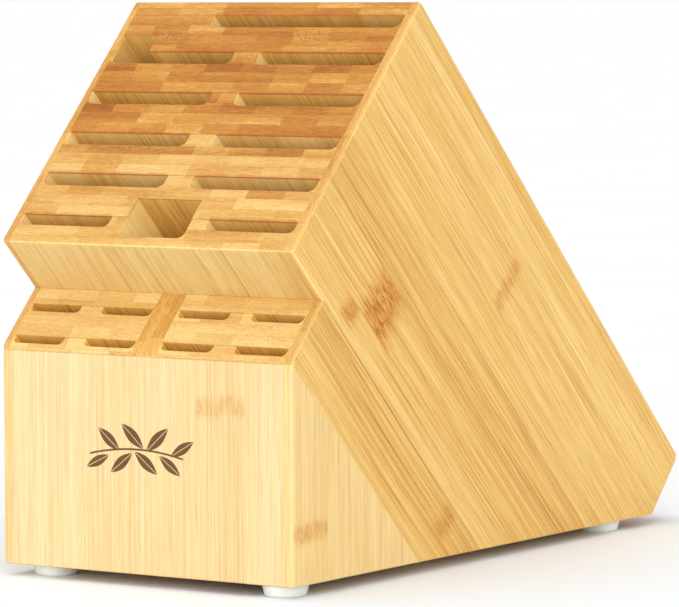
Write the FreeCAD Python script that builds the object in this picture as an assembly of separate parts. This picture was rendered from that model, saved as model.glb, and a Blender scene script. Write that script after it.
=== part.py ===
import FreeCAD, Part
import math
import os

V = FreeCAD.Vector
os.makedirs("parts", exist_ok=True)

# ---------------------------------------------------------------- driving dimensions (mm)
block_w = 165.0        # overall width across the two side panels
panel_t = 4.4          # thickness of every side panel
slant = 46.0           # angle of the slot faces above horizontal, degrees
face_len = 154.4       # slant height of the upper slot face
slab_len = 339.3       # length of the slanted block along its back
recess = 33.8          # how far the step face sits behind the upper face, along the slant
step_stack = 36.7      # thickness of the step section under the slanted block
edge_r = 2.0           # rounding of the sanded outer arrises
rear_r = 4.0           # fuller rounding of the rearmost edge
base_r = 0.8           # the edges around the base are only eased
step_nose_r = 5.0      # softer rounding where the step face meets the front
mouth_r = 0.6          # easing of the lower lip of every knife slot

# rows of the upper block, measured down the face from its top edge
row_top = [9.5, 33.4, 59.6, 85.7, 111.4, 137.5]
slot_h = 7.6           # height of a large knife slot
slot_h_row6 = 6.3      # height of the two lowest slots
slot_r = 3.8           # rounded floor corners of a large slot
wall = 0.9             # wood left between a slot end and the side panel
slot_l_end = 75.0      # inner end of the left slots, from the left side
slot_r_start = 90.0    # inner end of the right slots
row1_start = 52.0      # the single top slot starts here
row6_l_end = 56.0
row6_r_start = 111.0
notch_end = 25.2       # sharpening steel notch: right side, and the top of it
notch_top = 23.0
well_x0, well_x1 = 65.0, 101.5   # shears well
well_top, well_bottom = 126.0, 149.0
well_r = 3.6
slot_stop = 14.0       # every channel stops this far, along the slant, short of the base or the rear end

# step section, measured down the step face from its top edge
step_row_a = 9.7       # top of the rear row of steak-knife slots
step_row_b = 29.0      # top of the front row
steak_h = 4.2
steak_w = 28.4
steak_r = 2.6
divider_x0, divider_x1 = 75.6, 89.4

# rubber feet
foot_h = 5.6
foot_r_top = 10.9
foot_r_bottom = 9.6
foot_rim_r = 1.0
foot_x_left = -64.0     # hand-placed: not quite symmetric
foot_x_right = 69.0
foot_y_front_left = 16.0   # from the front plane
foot_y_front_right = 13.0
foot_y_rear = 292.5

# ---------------------------------------------------------------- side profile
th = math.radians(slant)
u = V(0, math.cos(th), math.sin(th))         # up the slot face
s = V(0, math.sin(th), -math.cos(th))        # down the slant, towards the rear
# lower front edge of the overhang lies in the front plane y = 0
z3 = recess * math.cos(th) + 0.0
# height of the step's nose: step face drops from the overhang back to y = 0
nose_len = recess * math.sin(th) / math.cos(th)          # length of the step face
seam_extra = step_stack - nose_len                       # step stack left under the nose
z1 = 103.2                                               # nose height above the wooden base
P0 = V(0, 0, 0)
P1 = V(0, 0, z1)
P2 = P1 + u * nose_len
P3 = P2 - s * recess
P4 = P3 + u * face_len
P5 = P4 + s * slab_len
P6 = P5 - u * (P5.z / u.z)

# shift to the shared frame: centred in x and y, feet standing on z = 0
y_max = P5.y - rear_r * (s.y + u.y) + rear_r
SHIFT = V(0, -y_max / 2.0, foot_h)
HALF = block_w / 2.0


def polygon_prism(points, x0, x1):
    pts = [V(x0, p.y, p.z) for p in points]
    face = Part.Face(Part.makePolygon(pts + [pts[0]]))
    return face.extrude(V(x1 - x0, 0, 0))


# outer envelope with every exposed arris rounded; all wooden pieces are cut by it.
# It is drawn past the base first, so that the base can be cut flat and its edges only eased.
BELOW = 60.0
P0_low = V(0, 0, -BELOW)
P6_low = P5 - u * ((P5.z + BELOW) / u.z)
profile = [P0_low, P1, P2, P3, P4, P5, P6_low]
envelope = polygon_prism(profile, -HALF, HALF)


def edge_between(shape, a, b, tol=1e-4):
    for e in shape.Edges:
        p, q = e.Vertexes[0].Point, e.Vertexes[-1].Point
        if (p.distanceToPoint(a) < tol and q.distanceToPoint(b) < tol) or \
           (p.distanceToPoint(b) < tol and q.distanceToPoint(a) < tol):
            return e
    return None


def at(p, x):
    return V(x, p.y, p.z)


cross_nose = edge_between(envelope, at(P1, -HALF), at(P1, HALF))
envelope = envelope.makeFillet(step_nose_r, [cross_nose])
for points, radius in (((P3, P4), edge_r), ((P5,), rear_r)):
    cross = [edge_between(envelope, at(p, -HALF), at(p, HALF)) for p in points]
    envelope = envelope.makeFillet(radius, [e for e in cross if e is not None])
rim = []
for e in envelope.Edges:
    pts = [e.valueAt(e.FirstParameter + (e.LastParameter - e.FirstParameter) * k) for k in (0.02, 0.5, 0.98)]
    if all(abs(abs(p.x) - HALF) < 1e-4 for p in pts) and any(p.z > -BELOW + 1.0 for p in pts):
        rim.append(e)
envelope = envelope.makeFillet(edge_r * 0.96, rim)
envelope = envelope.common(Part.makeBox(3 * block_w, 900, 900, V(-1.5 * block_w, -200, 0))).Solids[0]
base = []
for e in envelope.Edges:
    pts = [e.valueAt(e.FirstParameter + (e.LastParameter - e.FirstParameter) * k) for k in (0.0, 0.5, 1.0)]
    if all(abs(p.z) < 1e-5 for p in pts):
        base.append(e)
envelope = envelope.makeFillet(base_r, base)
assert envelope.isValid() and len(envelope.Solids) == 1

# ---------------------------------------------------------------- slanted working frame
# local x = width, local y = a (down the slant from the upper face),
# local z = -v (v measured down the face from the back surface)
to_world = FreeCAD.Placement(P4, FreeCAD.Rotation(V(1, 0, 0), slant - 90.0))


def slab(x0, x1, a0, a1, v0, v1):
    b = Part.makeBox(x1 - x0, a1 - a0, v1 - v0, V(x0 - HALF, a0, -v1))
    b.Placement = to_world
    return b


def groove(x0, x1, v0, v1, a0, a1, r, lift=2.0):
    """Milled channel: open at the top, floor corners rounded."""
    x0, x1 = x0 - HALF, x1 - HALF
    top, bot = -(v0 - lift), -v1
    c = r * (1 - math.sqrt(0.5))
    p = [V(x0, a0, top), V(x0, a0, bot + r), V(x0 + c, a0, bot + c), V(x0 + r, a0, bot),
         V(x1 - r, a0, bot), V(x1 - c, a0, bot + c), V(x1, a0, bot + r), V(x1, a0, top)]
    edges = [Part.makeLine(p[0], p[1]), Part.Arc(p[1], p[2], p[3]).toShape(),
             Part.makeLine(p[3], p[4]), Part.Arc(p[4], p[5], p[6]).toShape(),
             Part.makeLine(p[6], p[7]), Part.makeLine(p[7], p[0])]
    g = Part.Face(Part.Wire(edges)).extrude(V(0, a1 - a0, 0))
    g.Placement = to_world
    return g


inv = to_world.inverse()


def local(pt):
    q = inv.multVec(pt)
    return q.x + HALF, q.y, -q.z


def ease_mouth(board, spans, a_mouth, v0, v1):
    """Round the lower lip and the ends of each slot where it opens on the face."""
    picked = []
    for e in board.Edges:
        m = [local(e.valueAt(e.FirstParameter + (e.LastParameter - e.FirstParameter) * k)) for k in (0.02, 0.5, 0.98)]
        if any(abs(q[1] - a_mouth) > 1e-3 for q in m):
            continue
        if any(q[2] < v0 - 1e-3 or q[2] > v1 + 1e-3 for q in m):
            continue
        if all(abs(q[2] - v0) < 1e-3 for q in m):
            continue                      # top plane of the board
        if not any(all(x0 - 1e-3 <= q[0] <= x1 + 1e-3 for q in m) for x0, x1 in spans):
            continue
        picked.append(e)
    try:
        out = board.makeFillet(mouth_r, picked)
        if out.isValid() and out.Volume > 0:
            return out
    except Exception:
        pass
    return board


FAR = 460.0


def stop(v1):
    """Where a channel whose floor is at v1 ends, so that closed wood is left below and behind."""
    return min((P4.z - v1 * u.z) / -s.z - slot_stop, slab_len - slot_stop)


X_L, X_R = panel_t, block_w - panel_t        # inner faces of the side panels
S_L, S_R = X_L + wall, X_R - wall            # outermost slot ends
nodes = {}


def add(name, shape):
    shape = shape.common(envelope) if name not in nodes else shape
    solids = shape.Solids
    assert len(solids) == 1, (name, len(solids))
    out = solids[0]
    assert out.isValid(), name
    nodes[name] = out


def board(name, x0, x1, v0, v1, grooves, a0=0.0, under=()):
    """One laminated board with stopped channels milled in its top (and, for two, its underside)."""
    b = slab(x0, x1, a0, FAR, v0, v1)
    for g0, g1, depth, r in grooves:
        b = b.cut(groove(g0, g1, v0, v0 + depth, a0 - 5, stop(v0 + depth), r))
    for g0, g1, top, floor in under:
        b = b.cut(slab(g0, g1, a0 - 5, stop(floor), top, v1 + 3))
    b = b.common(envelope)
    for g0, g1, depth, r in grooves:
        b = ease_mouth(b, [(g0, g1)], a0, v0, v0 + depth)
    assert len(b.Solids) == 1, (name, len(b.Solids))
    b = b.Solids[0]
    assert b.isValid(), name
    nodes[name] = b


# ---------------------------------------------------------------- upper slanted block
def panel(name, x0, x1, a0, v0, v1):
    p = slab(x0, x1, a0, FAR, v0, v1).common(envelope)
    assert len(p.Solids) == 1 and p.isValid(), name
    nodes[name] = p.Solids[0]


panel("side_panel_left", 0, X_L, 0, 0, face_len)
panel("side_panel_right", X_R, block_w, 0, 0, face_len)

board("cap_board", X_L, X_R, 0.0, row_top[0], [])
board("slot_board_row1", X_L, X_R, row_top[0], row_top[1],
      [(row1_start, S_R, slot_h, slot_r)], under=[(S_L, notch_end, notch_top, row_top[1] + slot_h)])
for i in (1, 2, 3):
    board("slot_board_row%d" % (i + 1), X_L, X_R, row_top[i], row_top[i + 1],
          [(S_L, slot_l_end, slot_h, slot_r), (slot_r_start, S_R, slot_h, slot_r)])
board("slot_board_row5", X_L, X_R, row_top[4], row_top[5],
      [(S_L, slot_l_end, slot_h, slot_r), (slot_r_start, S_R, slot_h, slot_r)],
      under=[(well_x0, well_x1, well_top, well_bottom)])
board("slot_board_row6", X_L, X_R, row_top[5], face_len,
      [(S_L, row6_l_end, slot_h_row6, slot_r * 0.8),
       (well_x0, well_x1, well_bottom - row_top[5], well_r),
       (row6_r_start, S_R, slot_h_row6, slot_r * 0.8)])

# ---------------------------------------------------------------- step with steak-knife slots
v_step = face_len
va, vb, vc = v_step + step_row_a, v_step + step_row_b, v_step + step_stack
panel("step_side_left", 0, X_L, recess - 1e-9, v_step, vc)
panel("step_side_right", X_R, block_w, recess - 1e-9, v_step, vc)
panel("step_divider", divider_x0, divider_x1, recess - 1e-9, v_step, vc)
for side, x0, x1 in (("left", X_L, divider_x0), ("right", divider_x1, X_R)):
    slots = [(x0 + wall, x0 + wall + steak_w), (x1 - wall - steak_w, x1 - wall)]
    board("step_cover_board_" + side, x0, x1, v_step, va, [], a0=recess)
    board("step_middle_board_" + side, x0, x1, va, vb,
          [(p, q, steak_h, steak_r) for p, q in slots], a0=recess)
    board("step_lower_board_" + side, x0, x1, vb, vc,
          [(p, q, steak_h, steak_r) for p, q in slots], a0=recess)

# ---------------------------------------------------------------- upright-grain front wedge
panel("wedge_core", X_L, X_R, -FAR, vc, FAR)
panel("wedge_side_left", 0, X_L, -FAR, vc, FAR)
panel("wedge_side_right", X_R, block_w, -FAR, vc, FAR)

# ---------------------------------------------------------------- rubber feet


def foot(x, y):
    r1, r0, h, k = foot_r_top, foot_r_bottom, foot_h, foot_rim_r
    # half section: flat top against the wood, tapered wall, rounded lower rim
    slope = math.atan2(r1 - r0, h)
    tl = k * math.tan((math.pi / 2 - slope) / 2)
    w = V(math.sin(slope), 0, math.cos(slope))      # up the wall
    corner = V(r0, 0, -h)
    a = corner - V(tl, 0, 0)
    b = corner + w * tl
    centre = a + V(0, 0, k)
    mid = centre + (corner - centre).normalize() * k
    pts = [V(0, 0, 0), V(r1, 0, 0), b]
    edges = [Part.makeLine(pts[0], pts[1]), Part.makeLine(pts[1], b), Part.Arc(b, mid, a).toShape(),
             Part.makeLine(a, V(0, 0, -h)), Part.makeLine(V(0, 0, -h), pts[0])]
    f = Part.Face(Part.Wire(edges)).revolve(V(0, 0, 0), V(0, 0, 1), 360)
    if not f.isValid() or f.Volume < 0:
        f.reverse()
    f.translate(V(x, y, 0))
    return f


for name, x, y in (("foot_front_left", foot_x_left, foot_y_front_left),
                   ("foot_front_right", foot_x_right, foot_y_front_right),
                   ("foot_rear_left", foot_x_left, foot_y_rear),
                   ("foot_rear_right", foot_x_right, foot_y_rear)):
    f = foot(x, y)
    f = f.Solids[0] if f.Solids else Part.Solid(Part.Shell(f.Faces))
    assert f.isValid(), name
    nodes[name] = f

# ---------------------------------------------------------------- write the nodes
for name, shape in nodes.items():
    sh = shape.copy()
    sh.translate(SHIFT)
    sh.exportStep("parts/%s.step" % name)
    bb = sh.BoundBox
    print("%-26s vol %10.1f  x %8.2f %8.2f  y %8.2f %8.2f  z %8.2f %8.2f" % (
        name, sh.Volume, bb.XMin, bb.XMax, bb.YMin, bb.YMax, bb.ZMin, bb.ZMax))
total = sum(n.Volume for n in nodes.values() if n)
print("nodes", len(nodes), "volume", round(total, 1), "y_max", round(y_max, 3), "z3", round(P3.z, 2),
      "P4", P4, "P5", P5, "P6", P6, "nose_len", nose_len)
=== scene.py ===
import math

import bpy
from mathutils import Matrix, Vector


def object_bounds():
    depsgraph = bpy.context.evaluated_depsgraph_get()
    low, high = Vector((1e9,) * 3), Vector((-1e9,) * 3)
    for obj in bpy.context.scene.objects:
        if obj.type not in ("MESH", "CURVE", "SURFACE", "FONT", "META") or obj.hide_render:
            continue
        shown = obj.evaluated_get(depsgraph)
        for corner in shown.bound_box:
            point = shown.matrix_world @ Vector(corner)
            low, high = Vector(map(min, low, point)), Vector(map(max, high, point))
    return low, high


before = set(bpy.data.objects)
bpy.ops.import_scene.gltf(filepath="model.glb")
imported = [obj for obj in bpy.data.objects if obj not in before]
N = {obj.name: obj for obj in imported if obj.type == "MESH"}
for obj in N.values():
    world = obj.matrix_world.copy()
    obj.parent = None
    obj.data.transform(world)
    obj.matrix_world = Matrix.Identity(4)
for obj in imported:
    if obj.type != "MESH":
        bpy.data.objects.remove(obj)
cad_lo, cad_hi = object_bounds()

# ------------------------------------------------------------------ layout of the block (mm)
# The row frame sits at the middle of the width and depth, under the feet.
HALF_W = 82.5
DEPTH = (cad_hi.y - cad_lo.y) * 1000
FRONT_Y = cad_lo.y * 1000                 # upright front plane
BASE_Z = 5.6                              # underside of the wood
NOSE_Z = BASE_Z + 103.2
SLANT = math.radians(46.0)
CS, SN = math.cos(SLANT), math.sin(SLANT)
NOSE_LEN = 33.8 * SN / CS
P2Y = FRONT_Y + NOSE_LEN * CS
P2Z = NOSE_Z + NOSE_LEN * SN
P4Y = P2Y - 33.8 * SN + 154.4 * CS        # top front edge of the block
P4Z = P2Z + 33.8 * CS + 154.4 * SN
ROWS = [9.5, 33.4, 59.6, 85.7, 111.4, 137.5, 154.4]
STEP_V = 154.4
STEP_A = 33.8


# ------------------------------------------------------------------ node helpers
class Tree:
    def __init__(self, name):
        self.mat = bpy.data.materials.new(name)
        self.mat.use_nodes = True
        self.nt = self.mat.node_tree
        self.nt.nodes.clear()
        self.out = self.nt.nodes.new("ShaderNodeOutputMaterial")
        self.bsdf = self.nt.nodes.new("ShaderNodeBsdfPrincipled")
        self.nt.links.new(self.bsdf.outputs[0], self.out.inputs[0])
        self.cache = {}

    def new(self, kind):
        return self.nt.nodes.new(kind)

    def put(self, socket, value):
        if isinstance(value, bpy.types.NodeSocket):
            self.nt.links.new(value, socket)
        elif value is not None:
            socket.default_value = value

    def math(self, op, a, b=None, c=None, clamp=False):
        n = self.new("ShaderNodeMath")
        n.operation = op
        n.use_clamp = clamp
        self.put(n.inputs[0], a)
        self.put(n.inputs[1], b)
        if c is not None:
            self.put(n.inputs[2], c)
        return n.outputs[0]

    def add(self, a, b):
        return self.math("ADD", a, b)

    def sub(self, a, b):
        return self.math("SUBTRACT", a, b)

    def mul(self, a, b):
        return self.math("MULTIPLY", a, b)

    def div(self, a, b):
        return self.math("DIVIDE", a, b)

    def mad(self, a, b, c):
        return self.math("MULTIPLY_ADD", a, b, c)

    def abs(self, a):
        return self.math("ABSOLUTE", a)

    def min(self, a, b):
        return self.math("MINIMUM", a, b)

    def max(self, a, b):
        return self.math("MAXIMUM", a, b)

    def floor(self, a):
        return self.math("FLOOR", a)

    def fract(self, a):
        return self.math("FRACT", a)

    def clamp(self, a):
        return self.math("ADD", a, 0.0, clamp=True)

    def inv(self, a):
        return self.math("SUBTRACT", 1.0, a)

    def vec(self, x, y, z):
        n = self.new("ShaderNodeCombineXYZ")
        for s, v in zip(n.inputs, (x, y, z)):
            self.put(s, v)
        return n.outputs[0]

    def smooth(self, value, lo, hi, a=0.0, b=1.0):
        """Smoothstep from a at lo to b at hi."""
        n = self.new("ShaderNodeMapRange")
        n.interpolation_type = "SMOOTHSTEP"
        n.clamp = True
        self.put(n.inputs["Value"], value)
        if lo <= hi:
            vals = (lo, hi, a, b)
        else:
            vals = (hi, lo, b, a)
        for k, v in zip(("From Min", "From Max", "To Min", "To Max"), vals):
            n.inputs[k].default_value = v
        return n.outputs[0]

    def noise(self, vector, scale=1.0, detail=2.0, rough=0.5, distortion=0.0, color=False):
        n = self.new("ShaderNodeTexNoise")
        n.noise_dimensions = "3D"
        self.put(n.inputs["Vector"], vector)
        n.inputs["Scale"].default_value = scale
        n.inputs["Detail"].default_value = detail
        n.inputs["Roughness"].default_value = rough
        n.inputs["Distortion"].default_value = distortion
        return n.outputs["Color"] if color else n.outputs["Fac"]

    def white(self, vector):
        n = self.new("ShaderNodeTexWhiteNoise")
        n.noise_dimensions = "3D"
        self.put(n.inputs["Vector"], vector)
        sep = self.new("ShaderNodeSeparateColor")
        self.nt.links.new(n.outputs["Color"], sep.inputs[0])
        return sep.outputs[0], sep.outputs[1], sep.outputs[2]

    def voronoi(self, vector, scale=1.0, feature="F1", randomness=1.0):
        n = self.new("ShaderNodeTexVoronoi")
        n.voronoi_dimensions = "3D"
        n.feature = feature
        self.put(n.inputs["Vector"], vector)
        n.inputs["Scale"].default_value = scale
        n.inputs["Randomness"].default_value = randomness
        return n.outputs["Distance"]

    def ramp(self, fac, stops):
        n = self.new("ShaderNodeValToRGB")
        self.put(n.inputs[0], fac)
        els = n.color_ramp.elements
        while len(els) > 1:
            els.remove(els[-1])
        els[0].position, els[0].color = stops[0][0], (*lin(stops[0][1]), 1)
        for p, c in stops[1:]:
            e = els.new(p)
            e.color = (*lin(c), 1)
        return n.outputs[0]

    def mix(self, fac, a, b, mode="MIX"):
        n = self.new("ShaderNodeMix")
        n.data_type = "RGBA"
        n.blend_type = mode
        self.put(n.inputs[0], fac)
        for s, v in ((n.inputs[6], a), (n.inputs[7], b)):
            if isinstance(v, tuple):
                v = (*lin(v), 1)
            self.put(s, v)
        return n.outputs[2]

    def mixf(self, fac, a, b):
        n = self.new("ShaderNodeMix")
        n.data_type = "FLOAT"
        self.put(n.inputs[0], fac)
        self.put(n.inputs[2], a)
        self.put(n.inputs[3], b)
        return n.outputs[0]

    def position(self):
        """Row-frame millimetres: x, y, z."""
        if "xyz" not in self.cache:
            tc = self.new("ShaderNodeTexCoord")
            sep = self.new("ShaderNodeSeparateXYZ")
            self.nt.links.new(tc.outputs["Object"], sep.inputs[0])
            self.cache["xyz"] = tuple(self.mul(s, 1000.0) for s in sep.outputs)
        return self.cache["xyz"]

    def normal(self):
        if "n" not in self.cache:
            g = self.new("ShaderNodeNewGeometry")
            sep = self.new("ShaderNodeSeparateXYZ")
            self.nt.links.new(g.outputs["Normal"], sep.inputs[0])
            self.cache["n"] = tuple(sep.outputs)
        return self.cache["n"]

    def slanted(self):
        """x, v (down the slot face from its top edge) and a (down the slant from the slot face), in mm."""
        if "xva" not in self.cache:
            x, y, z = self.position()
            dy, dz = self.sub(y, P4Y), self.sub(z, P4Z)
            a = self.sub(self.mul(dy, SN), self.mul(dz, CS))
            v = self.mul(self.add(self.mul(dy, CS), self.mul(dz, SN)), -1.0)
            self.cache["xva"] = (x, v, a)
        return self.cache["xva"]

    def bump(self, height, distance, strength=1.0):
        n = self.new("ShaderNodeBump")
        n.inputs["Strength"].default_value = strength
        n.inputs["Distance"].default_value = distance
        self.put(n.inputs["Height"], height)
        return n.outputs[0]


def lin(c):
    """sRGB 0-255 to linear."""
    if max(c) <= 1.0:
        c = tuple(255 * k for k in c)
    return tuple(k / 255 / 12.92 if k <= 10.31 else ((k / 255 + 0.055) / 1.055) ** 2.4 for k in c[:3])


# ------------------------------------------------------------------ bamboo
def strips(t, width, ply, w, p, seed, bounds=None, jitter=3.0, ply0=0.0):
    """Which glued strip a point is in: three random numbers per strip and the distances to its glue lines."""
    if p:
        q = t.div(t.sub(ply, ply0), p)
        row = t.floor(q)
        f = t.fract(q)
        d_ply = t.mul(t.min(f, t.inv(f)), p)
    else:
        row, f, d_ply = 0.0, 0.5, 9.0
    r0, _, _ = t.white(t.vec(row, seed * 3.17, 4.4))
    if bounds:
        col, d_w = None, None
        for b in bounds:
            side = t.sub(width, b)
            step = t.math("GREATER_THAN", side, 0.0)
            col = step if col is None else t.add(col, step)
            d = t.abs(side)
            d_w = d if d_w is None else t.min(d_w, d)
    else:
        q = t.div(t.add(width, t.mul(t.sub(r0, 0.5), 2 * jitter)), w)
        col = t.floor(q)
        g = t.fract(q)
        d_w = t.mul(t.min(g, t.inv(g)), w)
    r = t.white(t.vec(col, row, seed * 1.37 + 0.5))
    return r, d_w, d_ply, f


def long_grain(t, width, ply, along, r, k=1.0):
    """Fibres: broad tone streaks, fine fibres about a millimetre apart, dark vascular dashes."""
    sx = t.mul(r[0], 37.0)
    sy = t.mul(r[1], 53.0)
    sway = t.sub(t.noise(t.vec(t.mul(width, 0.03), t.mul(along, 0.012), 7.0), 1.0, 2.0, 0.5), 0.5)
    W, P = t.add(t.mad(sway, 2.2, width), sx), t.add(ply, sy)
    broad = t.noise(t.vec(t.mul(W, 0.16), t.mul(P, 0.16), t.mul(along, 0.005)), 1.0, 2.0, 0.55)
    mid = t.noise(t.vec(t.mul(W, 0.55), t.mul(P, 0.55), t.mul(along, 0.010)), 1.0, 2.0, 0.55)
    mid = t.smooth(mid, 0.32, 0.68)
    fine = t.noise(t.vec(t.mul(W, 2.4), t.mul(P, 2.4), t.mul(along, 0.030)), 1.0, 3.0, 0.65)
    line = t.noise(t.vec(t.mul(W, 1.75), t.mul(P, 1.75), t.mul(along, 0.0055)), 1.0, 1.0, 0.5)
    line = t.smooth(line, 0.50, 0.60)
    hair = t.noise(t.vec(t.mul(W, 2.3), t.mul(P, 2.3), t.mul(along, 0.012)), 1.0, 1.0, 0.5)
    hair = t.smooth(hair, 0.42, 0.60)
    dash = t.noise(t.vec(t.mul(W, 1.9), t.mul(P, 1.9), t.mul(along, 0.045)), 1.0, 1.0, 0.4)
    dash = t.smooth(dash, 0.60, 0.68)
    return broad, mid, fine, dash, line, hair


def end_grain(t, width, ply, f, r, seed):
    """Cut fibre ends: bundles denser towards each strip's skin side, with fine streaks along the plies."""
    v = t.vec(t.add(t.mul(width, 1.05), t.mul(r[2], 19.0)), t.mul(ply, 1.7), seed)
    dots = t.smooth(t.voronoi(v, 1.0), 0.36, 0.14)
    small = t.smooth(t.noise(t.vec(t.mul(width, 1.3), t.mul(ply, 2.6), seed + 3.0), 1.0, 2.0, 0.7), 0.40, 0.62)
    grad = t.mixf(t.math("GREATER_THAN", r[1], 0.5), f, t.inv(f)) if f is not None else 0.5
    mottle = t.noise(t.vec(t.mul(width, 0.30), t.mul(ply, 0.8), seed), 1.0, 4.0, 0.6)
    lines = t.noise(t.vec(t.mul(width, 0.16), t.mul(ply, 1.9), seed + 9.0), 1.0, 3.0, 0.65)
    lines = t.smooth(lines, 0.34, 0.66)
    return dots, small, grad, mottle, lines


def knots(t, width, along, patches, seed):
    """Growth nodes: browner bands across one strip, feathered along the fibres. patches: (along, half length, width, half width, strength)."""
    warp = t.sub(t.noise(t.vec(t.mul(width, 0.16), t.mul(along, 0.02), seed), 1.0, 3.0, 0.6), 0.5)
    jag = t.sub(t.noise(t.vec(t.mul(width, 1.5), t.mul(along, 0.01), seed + 5.0), 1.0, 2.0, 0.6), 0.5)
    blot = t.noise(t.vec(t.mul(width, 0.22), t.mul(along, 0.12), seed + 11.0), 1.0, 2.0, 0.5)
    blot = t.smooth(blot, 0.34, 0.60)
    streak = t.noise(t.vec(t.mul(width, 1.3), t.mul(along, 0.05), seed + 2.0), 1.0, 2.0, 0.55)
    streak = t.smooth(streak, 0.40, 0.58)
    fleck = t.noise(t.vec(t.mul(width, 1.65), t.mul(along, 0.15), seed + 7.0), 1.0, 2.0, 0.6)
    fleck = t.smooth(fleck, 0.45, 0.55)
    soft, dark = None, None
    for a0, ha, w0, hw, k in patches:
        shift = t.add(t.mul(warp, 1.5 * ha), t.mul(jag, 1.3 * ha))
        da = t.abs(t.add(t.sub(along, a0), shift))
        dw = t.abs(t.sub(width, w0))
        edge = t.smooth(dw, hw + 0.4, hw - 0.8)
        body = t.mul(t.mul(t.mul(t.smooth(da, ha * 1.45, ha * 0.25), edge), t.mad(streak, 0.45, 0.55)), k)
        core = t.mul(t.smooth(da, ha * 1.15, ha * 0.35), edge)
        marks = t.mul(t.mul(core, t.mul(fleck, t.mad(blot, 0.85, 0.15))), k)
        soft = body if soft is None else t.max(soft, body)
        dark = marks if dark is None else t.max(dark, marks)
    return soft, dark


def finish_wood(t, color, height, rough, coat=0.0):
    t.put(t.bsdf.inputs["Base Color"], color)
    t.put(t.bsdf.inputs["Roughness"], rough)
    t.put(t.bsdf.inputs["Normal"], t.bump(height, 0.00018, 0.55))
    t.bsdf.inputs["Specular IOR Level"].default_value = 0.38
    t.bsdf.inputs["IOR"].default_value = 1.46
    return t.mat


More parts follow.
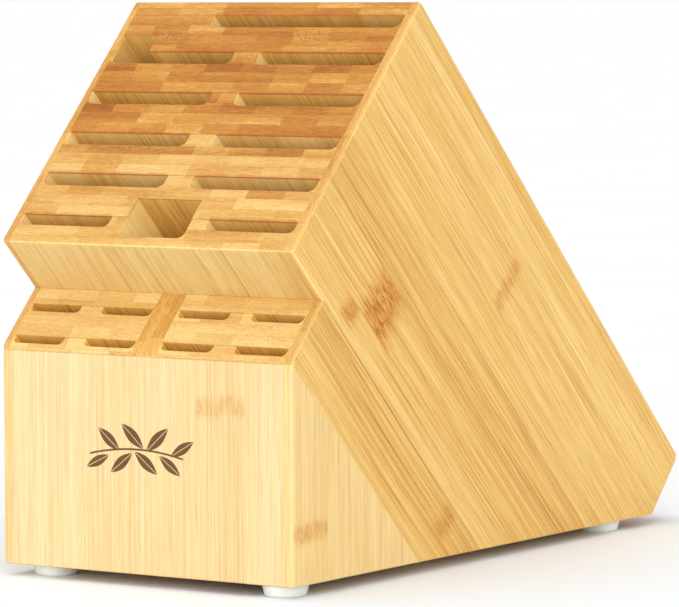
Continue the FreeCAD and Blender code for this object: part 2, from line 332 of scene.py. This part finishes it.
def bamboo(name, coords, w, p, seed, ramp, bounds=None, ply0=0.0, jitter=3.0, grain_axis="a",
           tone=0.5, spread=0.5, patches=(), end_ramp=None, end_tone=0.5, end_spread=0.9, seams=(),
           dash_k=0.30, dark=(176, 118, 48), glue_k=0.16, end_glue=0.15, flecked=(), burnt=(), bands=(), seam_k=0.3, wide_k=0.7, arris_shading_k=0.16, mark=None, random_nodes=0.0, stripe_k=1.0, knot_c=(242, 202, 128), arris=True, arris_shading_c=(246, 220, 160), face_lip=False):
    """A laminated bamboo piece. coords(t) gives width, ply and along in mm; the strips are solid through the piece."""
    t = Tree(name)
    width, ply, along = coords(t)
    r, d_w, d_ply, f = strips(t, width, ply, w, p, seed, bounds, jitter, ply0)
    broad, mid, fine, dash, line, hair = long_grain(t, width, ply, along, r)
    # ---- long faces
    tv = t.mad(t.sub(r[0], 0.5), spread, tone)
    tv = t.mad(t.sub(broad, 0.5), 0.60 * stripe_k, tv)
    tv = t.mad(t.sub(mid, 0.5), 0.05 * stripe_k, tv)
    tv = t.mad(t.sub(fine, 0.5), 0.70 * stripe_k, tv)
    tv = t.mad(line, -0.22 * stripe_k, tv)
    tv = t.mad(t.sub(hair, 0.5), -0.34 * stripe_k, tv)
    long_c = t.ramp(tv, ramp)
    long_c = t.mix(t.mul(dash, dash_k), long_c, dark, "MIX")
    glue = t.smooth(d_w, 0.32, 0.05)
    long_c = t.mix(t.mul(glue, glue_k), long_c, (150, 102, 44), "MIX")
    knot_h = 0.0
    if random_nodes:
        period = 310.0
        fr = t.fract(t.div(t.add(along, t.mul(r[2], 900.0)), period))
        warp = t.sub(t.noise(t.vec(t.mul(width, 0.35), t.mul(along, 0.1), seed), 1.0, 3.0, 0.6), 0.5)
        d = t.abs(t.add(t.mul(t.sub(fr, 0.5), period), t.mul(warp, 9.0)))
        band = t.smooth(d, 10.0, 1.5)
        st = t.noise(t.vec(t.mul(width, 1.2), t.mul(ply, 1.2), t.mul(along, 0.06)), 1.0, 3.0, 0.6)
        band = t.mul(t.mul(band, t.mad(t.smooth(st, 0.36, 0.64), 0.6, 0.4)), t.math("GREATER_THAN", r[1], 0.25))
        long_c = t.mix(t.mul(band, random_nodes), long_c, t.mix(1.0, long_c, knot_c, "MULTIPLY"), "MIX")
        knot_h = band
    if patches:
        k, fleck = knots(t, width, along, patches, seed)
        long_c = t.mix(k, long_c, t.mix(1.0, long_c, knot_c, "MULTIPLY"), "MIX")
        long_c = t.mix(t.mul(fleck, 0.92), long_c, (168, 98, 14), "MIX")
        knot_h = k if knot_h == 0.0 else t.max(knot_h, k)
    color = long_c
    height = t.add(t.mul(fine, 0.55), t.mul(dash, -0.45))
    height = t.add(height, t.mul(glue, -0.5))
    if not isinstance(knot_h, float):
        height = t.add(height, t.mul(knot_h, -0.5))
    rough = t.mad(t.sub(mid, 0.5), 0.22, 0.52)
    # ---- cut ends
    nx, ny, nz = t.normal()
    if grain_axis == "a":
        dot = t.abs(t.sub(t.mul(ny, SN), t.mul(nz, CS)))
    else:
        dot = t.abs(nz)
    ends = t.smooth(dot, 0.55, 0.80)
    if end_ramp:
        dots, small, grad, mottle, lines = end_grain(t, width, ply, f if p else None, r, seed)
        ev = t.mad(t.sub(r[0], 0.5), end_spread, end_tone)
        wide = t.noise(t.vec(t.mul(width, 0.016), t.mul(ply, 0.22), seed + 31.0), 1.0, 3.0, 0.55)
        ev = t.mad(t.sub(wide, 0.5), wide_k, ev)
        ev = t.mad(t.sub(mottle, 0.5), 0.42, ev)
        ev = t.mad(t.sub(lines, 0.5), 0.24, ev)
        ev = t.mad(t.sub(grad, 0.5), -0.10, ev)
        for v0, v1, shade in bands:
            mid_v, half = (v0 + v1) / 2, (v1 - v0) / 2
            inside = t.smooth(t.abs(t.sub(ply, mid_v)), half + 0.15, half - 0.15)
            ev = t.mad(t.mul(inside, t.mad(r[1], 1.1, 0.45)), shade, ev)
        end_c = t.ramp(ev, end_ramp)
        knotty = t.math("GREATER_THAN", r[2], 0.94)
        end_c = t.mix(t.mul(dots, t.mad(knotty, 0.42, t.mad(grad, 0.10, 0.06))), end_c, (136, 78, 22), "MIX")
        end_c = t.mix(t.mul(small, 0.34), end_c, (156, 94, 32), "MIX")
        if flecked:
            patch = None
            for x0, x1, v0, v1 in flecked:
                inside = t.mul(t.mul(t.math("GREATER_THAN", width, x0 - HALF_W), t.math("LESS_THAN", width, x1 - HALF_W)),
                               t.mul(t.math("GREATER_THAN", ply, v0), t.math("LESS_THAN", ply, v1)))
                patch = inside if patch is None else t.max(patch, inside)
            spot = t.smooth(t.voronoi(t.vec(t.mul(width, 0.80), t.mul(ply, 1.05), seed + 17.0), 1.0), 0.46, 0.28)
            end_c = t.mix(t.mul(patch, 0.10), end_c, (250, 206, 116), "MIX")
            end_c = t.mix(t.mul(t.mul(patch, spot), 0.60), end_c, (116, 60, 8), "MIX")
        glue_e = t.max(t.smooth(d_ply, 0.40, 0.10), t.mul(t.smooth(d_w, 0.36, 0.08), 0.45))
        end_c = t.mix(t.mul(glue_e, end_glue), end_c, (140, 86, 34), "MIX")
        color = t.mix(ends, color, end_c)
        h2 = t.add(t.mul(dots, -0.7), t.mul(small, -0.3))
        height = t.mixf(ends, height, t.add(h2, t.mul(glue_e, -0.3)))
        rough = t.mixf(ends, rough, t.mad(mottle, 0.2, 0.50))
    # ---- glue lines against the neighbouring pieces
    if seams:
        d = None
        for sx, value in seams:
            src = {"width": width, "ply": ply, "along": along, "x": t.position()[0], "y": t.position()[1],
                   "z": t.position()[2], "v": t.slanted()[1], "a": t.slanted()[2]}[sx]
            e = t.abs(t.sub(src, value))
            d = e if d is None else t.min(d, e)
        line = t.smooth(d, 0.36, 0.08)
        color = t.mix(t.mul(line, seam_k), color, (124, 76, 30), "MIX")
        height = t.add(height, t.mul(line, -0.8))
    # ---- painted highlight along the rounded arrises next to the side faces; a darker arris colour paints shade there instead
    if arris:
        x, y, z = t.position()
        side = t.smooth(t.abs(x), HALF_W - 2.3, HALF_W - 0.25)
        flat = t.smooth(t.abs(nx), 0.97, 0.80)
        arris_shading = t.mul(side, flat)
        color = t.mix(t.mul(arris_shading, arris_shading_k), color, arris_shading_c, "MIX")
    if face_lip:
        a = t.slanted()[2]
        up = t.add(t.mul(ny, CS), t.mul(nz, SN))
        # painted highlight on the upward-facing lower lip of each slot mouth
        mouth = t.smooth(a, 0.75, 0.30)
        color = t.mix(t.mul(t.mul(mouth, t.smooth(up, 0.15, 0.55)), 0.45), color, (248, 214, 142), "MIX")
        # painted shade on the downward-facing upper wall just inside each slot mouth
        edge = t.mul(t.smooth(a, 1.1, 0.5), t.smooth(up, -0.85, -0.97))
        color = t.mix(t.mul(edge, 0.55), color, (150, 78, 24), "MIX")
        # painted shade: the downward-facing upper wall of the shears well is darkened brown
        v = t.slanted()[1]
        well_roof_shade = t.mul(t.mul(t.smooth(up, -0.6, -0.9), t.smooth(a, 0.6, 1.4)), t.mul(t.smooth(v, 122.0, 124.0), t.smooth(v, 130.0, 128.0)))
        color = t.mix(t.mul(well_roof_shade, t.mad(dash, 0.35, 0.26)), color, (142, 92, 30), "MIX")
        # painted light on the inner end walls that face +x, away from the notch
        lit_end_wall = t.mul(t.smooth(nx, 0.6, 0.9), t.smooth(a, 0.6, 1.4))
        # painted shade on the inner surfaces of the notch
        notch = t.mul(t.smooth(t.slanted()[1], 46.0, 44.0), t.smooth(t.position()[0], 26.0 - HALF_W, 24.0 - HALF_W))
        lit_end_wall = t.mul(lit_end_wall, t.inv(notch))
        color = t.mix(t.mul(lit_end_wall, 0.62), color, (255, 230, 160), "MIX")
        color = t.mix(t.mul(notch, t.mul(t.smooth(a, 0.6, 1.4), 0.30)), color, (170, 116, 44), "MIX")
    if burnt:
        # cutter burn on the face just above a slot
        v_edge, spans = burnt
        over = None
        for x0, x1 in spans:
            one = t.smooth(t.abs(t.sub(t.position()[0], (x0 + x1) / 2 - HALF_W)), (x1 - x0) / 2 + 0.3, (x1 - x0) / 2 - 1.2)
            over = one if over is None else t.max(over, one)
        near = t.mul(t.smooth(t.slanted()[1], v_edge - 1.9, v_edge - 0.5), t.smooth(t.slanted()[2], 1.3, 0.5))
        wob = t.smooth(t.noise(t.vec(t.mul(width, 0.15), 3.0, seed), 1.0, 3.0, 0.6), 0.25, 0.65)
        color = t.mix(t.mul(t.mul(near, over), t.mad(wob, 0.34, 0.14)), color, (178, 84, 20), "MIX")
    if mark:
        m = mark(t)
        burn = t.mad(t.noise(t.vec(t.mul(width, 0.5), t.mul(along, 0.5), 1.0), 1.0, 3.0, 0.6), 0.5, 0.45)
        color = t.mix(t.clamp(t.mul(m, t.mad(burn, 0.15, 0.86))), color, t.ramp(burn, [(0.3, (56, 34, 10)), (0.85, (102, 68, 26))]))
        height = t.add(height, t.mul(m, -1.2))
        rough = t.mixf(m, rough, 0.68)
    return finish_wood(t, color, height, rough)


# coordinates of the grain in each kind of piece
def side_coords(t):
    x, v, a = t.slanted()
    return v, x, a


def slot_coords(t):
    x, v, a = t.slanted()
    return x, v, a


def divider_coords(t):
    x, v, a = t.slanted()
    return v, x, a


def front_coords(t):
    x, y, z = t.position()
    return x, y, z


def wedge_side_coords(t):
    x, y, z = t.position()
    return t.sub(y, FRONT_Y), x, z


# ------------------------------------------------------------------ a small generic burned sprig
def sprig(t):
    x, y, z = t.position()
    cx, cz = -5.0, NOSE_Z - 46.5
    p, q = t.sub(x, cx), t.sub(z, cz)
    # stem: a shallow arc
    curve = t.sub(q, t.mad(t.mul(p, p), -0.0045, 1.2))
    stem = t.mul(t.smooth(t.abs(curve), 0.62, 0.30), t.smooth(t.abs(p), 27.0, 26.0))
    total = stem
    leaves = [(-22, -5.2, 205, 7.6, 2.5), (-15.5, 5.2, 140, 8.2, 2.9), (-8.5, -5.4, 218, 8.2, 2.9), (-2, 7.2, 138, 8.8, 3.1),
              (5.5, -4.8, 322, 8.6, 3.0), (12, 6.2, 42, 8.8, 3.1), (19, -5.4, 324, 7.8, 2.7), (26, 2.6, 30, 8.0, 2.6)]
    for lx, lz, deg, ln, wd in leaves:
        c, s = math.cos(math.radians(deg)), math.sin(math.radians(deg))
        dx, dz = t.sub(p, lx), t.sub(q, lz)
        along = t.add(t.mul(dx, c), t.mul(dz, s))
        across = t.sub(t.mul(dz, c), t.mul(dx, s))
        g = t.sub(1.0, t.math("POWER", t.abs(t.div(along, ln)), 1.8))
        g = t.sub(g, t.div(t.abs(across), wd))
        vein = t.mul(t.smooth(t.abs(across), 0.14, 0.30, 0.35, 1.0), t.smooth(g, 0.02, 0.11))
        total = t.max(total, vein)
    front = t.smooth(t.normal()[1], -0.9, -0.98)
    return t.mul(total, front)


# ------------------------------------------------------------------ palettes (sRGB of the wood itself)
SIDE = [(0.0, (184, 120, 42)), (0.28, (212, 156, 72)), (0.52, (229, 181, 95)), (0.78, (238, 197, 116)), (1.0, (245, 211, 138))]
FRONT = [(0.0, (198, 158, 94)), (0.35, (217, 183, 126)), (0.62, (226, 196, 142)), (1.0, (237, 212, 164))]
WSIDE = [(0.0, (208, 160, 86)), (0.35, (230, 190, 120)), (0.65, (240, 206, 138)), (1.0, (247, 220, 160))]
WARM = [(0.0, (132, 68, 14)), (0.30, (166, 100, 30)), (0.55, (190, 126, 47)), (0.80, (207, 150, 68)), (1.0, (226, 180, 98))]
PALE = [(0.0, (168, 106, 38)), (0.30, (200, 144, 64)), (0.55, (218, 168, 90)), (0.80, (230, 188, 112)), (1.0, (242, 208, 138))]
INNER = [(0.0, (200, 146, 66)), (0.35, (232, 186, 98)), (0.65, (244, 204, 120)), (1.0, (250, 218, 144))]
LIGHT = [(0.0, (212, 162, 84)), (0.35, (244, 206, 126)), (0.65, (251, 220, 146)), (1.0, (254, 230, 166))]
STEAK = [(0.0, (206, 142, 54)), (0.35, (244, 194, 92)), (0.65, (252, 210, 112)), (1.0, (254, 220, 136))]

side_patches = [(74, 15, 124.5, 13.3, 1.0), (55, 7, 144, 6.0, 0.70), (150, 5, 45.5, 14.0, 0.45), (184, 7, 164, 8.2, 0.50)]

mats = {}


def dress(node, mat):
    o = N[node]
    for s in o.material_slots:
        s.material = mat
    if not o.material_slots:
        o.data.materials.append(mat)


side_bounds = [9.0, 31.0, 61.0, 85.0, 111.2, 138.0, 154.4, 172.5]
side_right = bamboo("bamboo_side_right", side_coords, 27.0, 0, 3.0, SIDE, bounds=side_bounds, patches=side_patches,
                    spread=0.26, tone=0.64, end_ramp=PALE, end_tone=0.50, end_spread=0.25, seam_k=0.12, seams=[("v", 154.4)])
side_left = bamboo("bamboo_side_left", side_coords, 27.0, 0, 8.0, SIDE, bounds=[6.0, 33.0, 58.0, 87.0, 114.0, 141.0, 154.4, 175.0],
                   random_nodes=0.8, spread=0.26, tone=0.64, end_ramp=PALE, end_tone=0.46, end_spread=0.25, seam_k=0.12, seams=[("v", 154.4)])
for n, m in (("side_panel_right", side_right), ("step_side_right", side_right), ("side_panel_left", side_left), ("step_side_left", side_left)):
    dress(n, m)

SL, SR = 5.3, 159.7                       # outermost slot ends, from the left side
SLOTS = {1: [(52.0, SR)], 2: [(25.2, 75.0), (90.0, SR)], 3: [(SL, 75.0), (90.0, SR)], 4: [(SL, 75.0), (90.0, SR)],
         5: [(SL, 75.0), (90.0, SR)], 6: [(SL, 56.0), (111.0, SR)]}
dress("cap_board", bamboo("bamboo_cap", slot_coords, 26.0, 5.0, 21.0, SIDE, random_nodes=0.8, spread=0.26, tone=0.64,
                          end_ramp=WARM, end_tone=0.62, end_spread=0.46, bands=[(-1.0, 4.6, 0.20)], seams=[("v", 9.5)], burnt=(ROWS[0], SLOTS[1])))
looks = [(0.66, WARM, INNER), (0.60, WARM, INNER), (0.62, WARM, LIGHT), (0.58, PALE, LIGHT), (0.62, PALE, INNER), (0.60, PALE, LIGHT)]
flecked = {1: [(25.5, 41.5, 19.5, 25.8), (103.2, 123.2, 19.5, 25.8)], 2: [(83.0, 89.6, 35.5, 41.0)], 4: [(41.6, 60.0, 93.3, 96.6)]}
bands = {1: [(20.0, 26.5, -0.10)], 2: [(41.0, 46.4, -0.12)], 3: [(67.2, 72.6, -0.14)], 4: [(93.3, 98.7, -0.30)], 5: [(119.0, 124.4, -0.14)],
         6: [(150.5, 156.0, -0.02)]}
for i, (tone, warm, inner) in enumerate(looks):
    top = ROWS[i]
    dress("slot_board_row%d" % (i + 1), bamboo("bamboo_slot_row%d" % (i + 1), slot_coords, 20.5, 6.5, 31.0 + 7 * i, inner,
          ply0=top, end_ramp=warm, end_tone=tone, end_spread=0.40, random_nodes=0.5, spread=0.3, flecked=flecked.get(i + 1, ()),
          seams=[("v", top), ("v", ROWS[i + 1])], face_lip=True, arris=False,
          burnt=(ROWS[i + 1], SLOTS[i + 2]) if i < 5 else (), bands=bands.get(i + 1, ())))

for sname in ("left", "right"):
    for k, (piece, v0, v1, seed) in enumerate((("cover", 0.0, 9.7, 71.0), ("middle", 9.7, 29.0, 83.0), ("lower", 29.0, 36.7, 95.0))):
        dress("step_%s_board_%s" % (piece, sname), bamboo("bamboo_step_%s_%s" % (piece, sname), slot_coords, 22.0, 6.4,
              seed + (4.0 if sname == "left" else 0.0), STEAK, ply0=STEP_V + v0, end_ramp=PALE, end_tone=0.82, end_spread=0.32, end_glue=0.08,
              wide_k=0.5, random_nodes=0.5, spread=0.3, seams=[("v", STEP_V + v0), ("v", STEP_V + v1)], arris=False))
dress("step_divider", bamboo("bamboo_divider", divider_coords, 30.0, 8.0, 111.0, INNER, end_ramp=WARM, end_tone=0.90,
                             end_spread=0.25, wide_k=0.4, seams=[("x", -6.9), ("x", 6.9)], arris=False))

front_patches = [(NOSE_Z - 23.0, 5.2, 125 - HALF_W, 13.9, 0.34)]
dress("wedge_core", bamboo("bamboo_front", front_coords, 28.0, 0, 131.0, FRONT, bounds=[b - HALF_W for b in (27, 55, 83, 111, 139)],
                           grain_axis="z", patches=front_patches, spread=0.22, tone=0.62, end_ramp=PALE, dash_k=0.18,
                           stripe_k=0.75, mark=sprig, seams=[("x", -78.1), ("x", 78.1), ("v", 191.1)], arris=False))
# the wedge sides paint shade on their rounded arrises with a darker arris colour, toning down the lit rounding
for sname, tone in (("left", 0.40), ("right", 0.62)):
    dress("wedge_side_" + sname, bamboo("bamboo_wedge_" + sname, wedge_side_coords, 28.0, 0, 141.0 if sname == "left" else 153.0, WSIDE,
                                        bounds=[28.5, 56, 84], grain_axis="z", spread=0.22, tone=tone,
                                        patches=[(BASE_Z + 24.0, 4.6, 14.0, 13.6, 0.55)] if sname == "right" else (),
                                        random_nodes=0.0 if sname == "right" else 0.4,
                                        end_ramp=PALE, dash_k=0.2, stripe_k=0.8, seam_k=0.10, seams=[("v", 191.1)],
                                        arris_shading_k=0.75, arris_shading_c=(222, 192, 140)))


def rubber():
    t = Tree("milky_rubber")
    x, y, z = t.position()
    cloud = t.noise(t.vec(t.mul(x, 0.12), t.mul(y, 0.12), t.mul(z, 0.12)), 1.0, 3.0, 0.55)
    fine = t.noise(t.vec(t.mul(x, 2.0), t.mul(y, 2.0), t.mul(z, 2.0)), 1.0, 3.0, 0.6)
    c = t.ramp(cloud, [(0.25, (234, 240, 226)), (0.7, (244, 249, 240))])
    # darker mottling towards the bottom of each foot
    foot_base_dark = t.smooth(z, 1.6, 0.2)
    c = t.mix(t.mul(foot_base_dark, t.mul(fine, 0.35)), c, (170, 160, 138))
    t.put(t.bsdf.inputs["Base Color"], c)
    t.put(t.bsdf.inputs["Roughness"], t.mad(fine, 0.2, 0.28))
    t.put(t.bsdf.inputs["Normal"], t.bump(fine, 0.00008, 0.35))
    t.bsdf.inputs["IOR"].default_value = 1.45
    t.bsdf.inputs["Transmission Weight"].default_value = 0.12
    t.bsdf.inputs["Subsurface Weight"].default_value = 0.5
    t.bsdf.inputs["Subsurface Radius"].default_value = (1.0, 1.0, 0.8)
    t.bsdf.inputs["Subsurface Scale"].default_value = 0.004
    return t.mat


feet = rubber()
for n in ("foot_front_left", "foot_front_right", "foot_rear_left", "foot_rear_right"):
    dress(n, feet)

# ------------------------------------------------------------------ floor, light, camera
bpy.ops.mesh.primitive_plane_add(size=240.0, location=(0, 60.0, 0))
floor = bpy.context.object
floor.name = "floor"
ft = Tree("pale_floor")
x, y, z = ft.position()
y = ft.add(y, 60000.0)                     # the plane is centred 60 m behind the block
haze = ft.noise(ft.vec(ft.mul(x, 0.004), ft.mul(y, 0.004), 0.0), 1.0, 2.0, 0.5)
far = ft.ramp(haze, [(0.3, (250, 250, 250)), (0.7, (253, 253, 253))])
dx, dy = ft.sub(x, 70.0), ft.add(y, 120.0)       # where the sunlit faces throw warm light on the floor
reach = ft.math("SQRT", ft.add(ft.mul(dx, dx), ft.mul(dy, dy)))
# painted cool tint near the block, cancelling the warm light that the wood bounces onto the floor
ft.put(ft.bsdf.inputs["Base Color"], ft.mix(ft.smooth(reach, 430.0, 120.0), far, (243, 249, 255)))
ft.bsdf.inputs["Roughness"].default_value = 0.8
ft.bsdf.inputs["Specular IOR Level"].default_value = 0.1
floor.data.materials.append(ft.mat)

world = bpy.data.worlds.new("studio")
bpy.context.scene.world = world
world.use_nodes = True
world.node_tree.nodes["Background"].inputs[0].default_value = (1.0, 1.0, 1.0, 1.0)
world.node_tree.nodes["Background"].inputs[1].default_value = 0.575


def softbox(name, azimuth, elevation, strength, angle, color=(1, 1, 1)):
    """A very large, distant soft source: azimuth from the front towards the right side, in degrees."""
    d = bpy.data.lights.new(name, "SUN")
    d.energy = strength * math.pi
    d.angle = math.radians(angle)
    d.color = color
    o = bpy.data.objects.new(name, d)
    bpy.context.collection.objects.link(o)
    a, e = math.radians(azimuth), math.radians(elevation)
    to_light = Vector((math.sin(a) * math.cos(e), -math.cos(a) * math.cos(e), math.sin(e)))
    o.rotation_mode = "QUATERNION"
    o.rotation_quaternion = to_light.to_track_quat("Z", "Y")
    o.location = to_light * 3.0
    return o


softbox("key", 38.0, 15.0, 0.54, 45.0)
softbox("front", -6.0, 5.0, 0.10, 36.0)
softbox("top", -20.0, 78.0, 0.33, 60.0)

# a low white card in front lifts the downward-facing wood
card = bpy.data.lights.new("low_card", "AREA")
card.shape = "RECTANGLE"
card.size, card.size_y = 1.6, 0.5
card.energy = 2.3
cobj = bpy.data.objects.new("low_card", card)
bpy.context.collection.objects.link(cobj)
cobj.location = (0.0, -1.15, 0.12)
aim = Vector((0.0, 0.0, 0.16)) - Vector(cobj.location)
cobj.rotation_mode = "QUATERNION"
cobj.rotation_quaternion = aim.to_track_quat("-Z", "Y")
cobj.visible_camera = False

sc = bpy.context.scene
sc.view_settings.view_transform = "Standard"
sc.view_settings.look = "None"

cam = bpy.data.cameras.new("camera")
cam.sensor_fit = "HORIZONTAL"
cam.sensor_width = 36.0
F_PX = 4396.0
cam.lens = F_PX / 679.0 * 36.0
cam.clip_start, cam.clip_end = 0.05, 800.0
co = bpy.data.objects.new("camera", cam)
bpy.context.collection.objects.link(co)
R = ((0.83113, 0.55606, -0.00441), (0.03712, -0.06339, -0.9973), (-0.55483, 0.82872, -0.07332))
right, down, fwd = (Vector(r).normalized() for r in R)
m = Matrix((right, -down, -fwd)).transposed().to_4x4()
m.translation = Vector((1.1904, -1.6170 + FRONT_Y / 1000, 0.2724 + BASE_Z / 1000))
co.matrix_world = m
sc.camera = co
